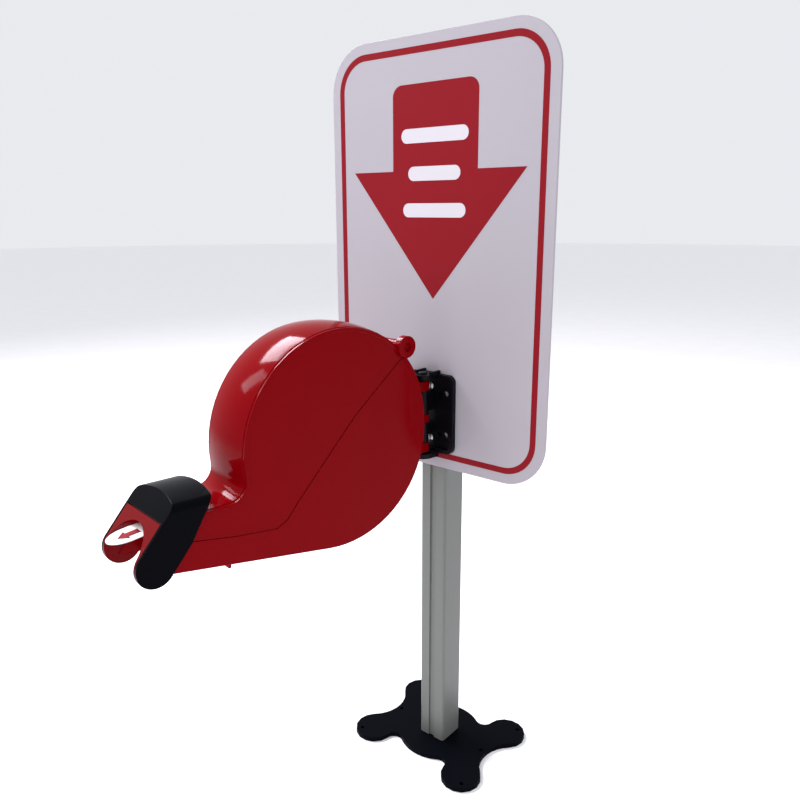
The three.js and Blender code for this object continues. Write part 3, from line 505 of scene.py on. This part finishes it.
def print_ring(name, outer, inner, y, material):
    """A film of ink between two outlines with as many points, on the plane of that y."""
    build = bmesh.new()
    outside = [build.verts.new((x, y, z)) for x, z in outer]
    inside = [build.verts.new((x, y, z)) for x, z in inner]
    for i in range(len(outside)):
        j = (i + 1) % len(outside)
        build.faces.new((outside[i], outside[j], inside[j], inside[i]))
    add_ink(build, name, material)


def add_ink(build, name, material):
    thicken(build, (0, -INK, 0))
    add_piece(name, built_mesh(build, name), material, "stand")


def print_sign(materials):
    low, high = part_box("sign_panel")
    outer = border_outline(low, high, BORDER["inset"])
    inner = border_outline(low, high, BORDER["inset"] + BORDER["width"])
    print_ring("print_border", outer, inner, low.y, materials["print_red"])
    print_shape("print_arrow", arrow_outline(), low.y, materials["print_red"])
    for i, (half, z) in enumerate(BARS):
        print_shape(f"print_bar_{i + 1}", bar_outline(half, z), low.y - INK, materials["print_white"])


# ---------- Ticket ----------

def to_world(x, y, z):
    """From the dispenser's own frame, with y measured from the swivel axis."""
    return (
        x * math.cos(YAW) - y * math.sin(YAW),
        SWIVEL_Y + x * math.sin(YAW) + y * math.cos(YAW),
        z,
    )


def droop(y):
    """How far the paper hangs down at y."""
    start = TICKET["droop_start"]
    along = max(0.0, (start - y) / (start - TICKET["tip"]))
    return TICKET["droop"] * along ** 2


def lean(y):
    """How far the loose end of the ticket stands to one side at y."""
    return TICKET["lean"] * max(0.0, TICKET["lean_start"] - y)


def ticket_half_width(y):
    """The ticket's half width at y: constant, then a round tip."""
    into_tip = TICKET["tip"] + TICKET["tip_round"] - y
    if into_tip <= 0:
        return TICKET["half"]
    share = min(1.0, into_tip / TICKET["tip_round"])
    return TICKET["half"] * math.sqrt(1 - share ** 2)


def arrow_half_width(y):
    """The half width of the arrow on the ticket at y: a point that widens, then the shaft."""
    if y >= TICKET_ARROW["neck"]:
        return TICKET_ARROW["shaft_half"]
    head_length = TICKET_ARROW["neck"] - TICKET_ARROW["head"]
    return TICKET_ARROW["head_half"] * (y - TICKET_ARROW["head"]) / head_length


def paper_row(y, half, lift, across):
    """Points across the paper at y, with both edges curled up a little."""
    z = TICKET["z"] + lift - droop(y)
    shares = [2 * i / across - 1 for i in range(across + 1)]
    return [
        to_world(lean(y) + share * half, y, z + TICKET["curl"] * share ** 2) for share in shares
    ]


def paper_strip(name, stations, half_at, lift, thickness, across):
    """A bent strip of paper; stations are y values and half_at gives the half width at each."""
    build = bmesh.new()
    rows = []
    for y in stations:
        points = paper_row(y, max(half_at(y), NARROWEST), lift, across)
        rows.append([build.verts.new(point) for point in points])
    for near, far in zip(rows, rows[1:]):
        for i in range(across):
            build.faces.new((near[i], near[i + 1], far[i + 1], far[i]))
    thicken(build, (0, 0, -thickness))
    mesh = built_mesh(build, name)
    for polygon in mesh.polygons:
        polygon.use_smooth = abs(polygon.normal.z) > 0.5
    return mesh


def spread(first, last, count):
    return [first + (last - first) * i / (count - 1) for i in range(count)]


def make_ticket(materials):
    tip_round = TICKET["tip_round"]
    stations = spread(TICKET["tear"], TICKET["tip"] + tip_round, 14)
    for degrees in range(8, 91, 6):
        stations.append(TICKET["tip"] + tip_round * (1 - math.sin(math.radians(degrees))))
    mesh = paper_strip("ticket_bent", stations, ticket_half_width, 0.0, TICKET["thickness"], 8)
    piece = add_piece("ticket_bent", mesh, materials["ticket_paper"], "ticket")
    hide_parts("ticket")


def make_ticket_arrow(materials):
    neck = TICKET_ARROW["neck"]
    step = TICKET_ARROW["step"]
    ink = TICKET_ARROW["ink"]
    stations = spread(TICKET_ARROW["head"], neck - step, 7)
    stations += spread(neck + step, TICKET_ARROW["tail"], 6)
    mesh = paper_strip("ticket_arrow", stations, arrow_half_width, ink, ink, 4)
    add_piece("ticket_arrow", mesh, materials["print_red"], "ticket")


# ---------- Scene ----------

make_camera()
for light in LIGHTS:
    make_light(*light)
make_world()
make_floor()
materials = {name: make_finish(name, **finish) for name, finish in FINISHES.items()}
dress_nodes(materials)
print_sign(materials)
make_ticket(materials)
make_ticket_arrow(materials)
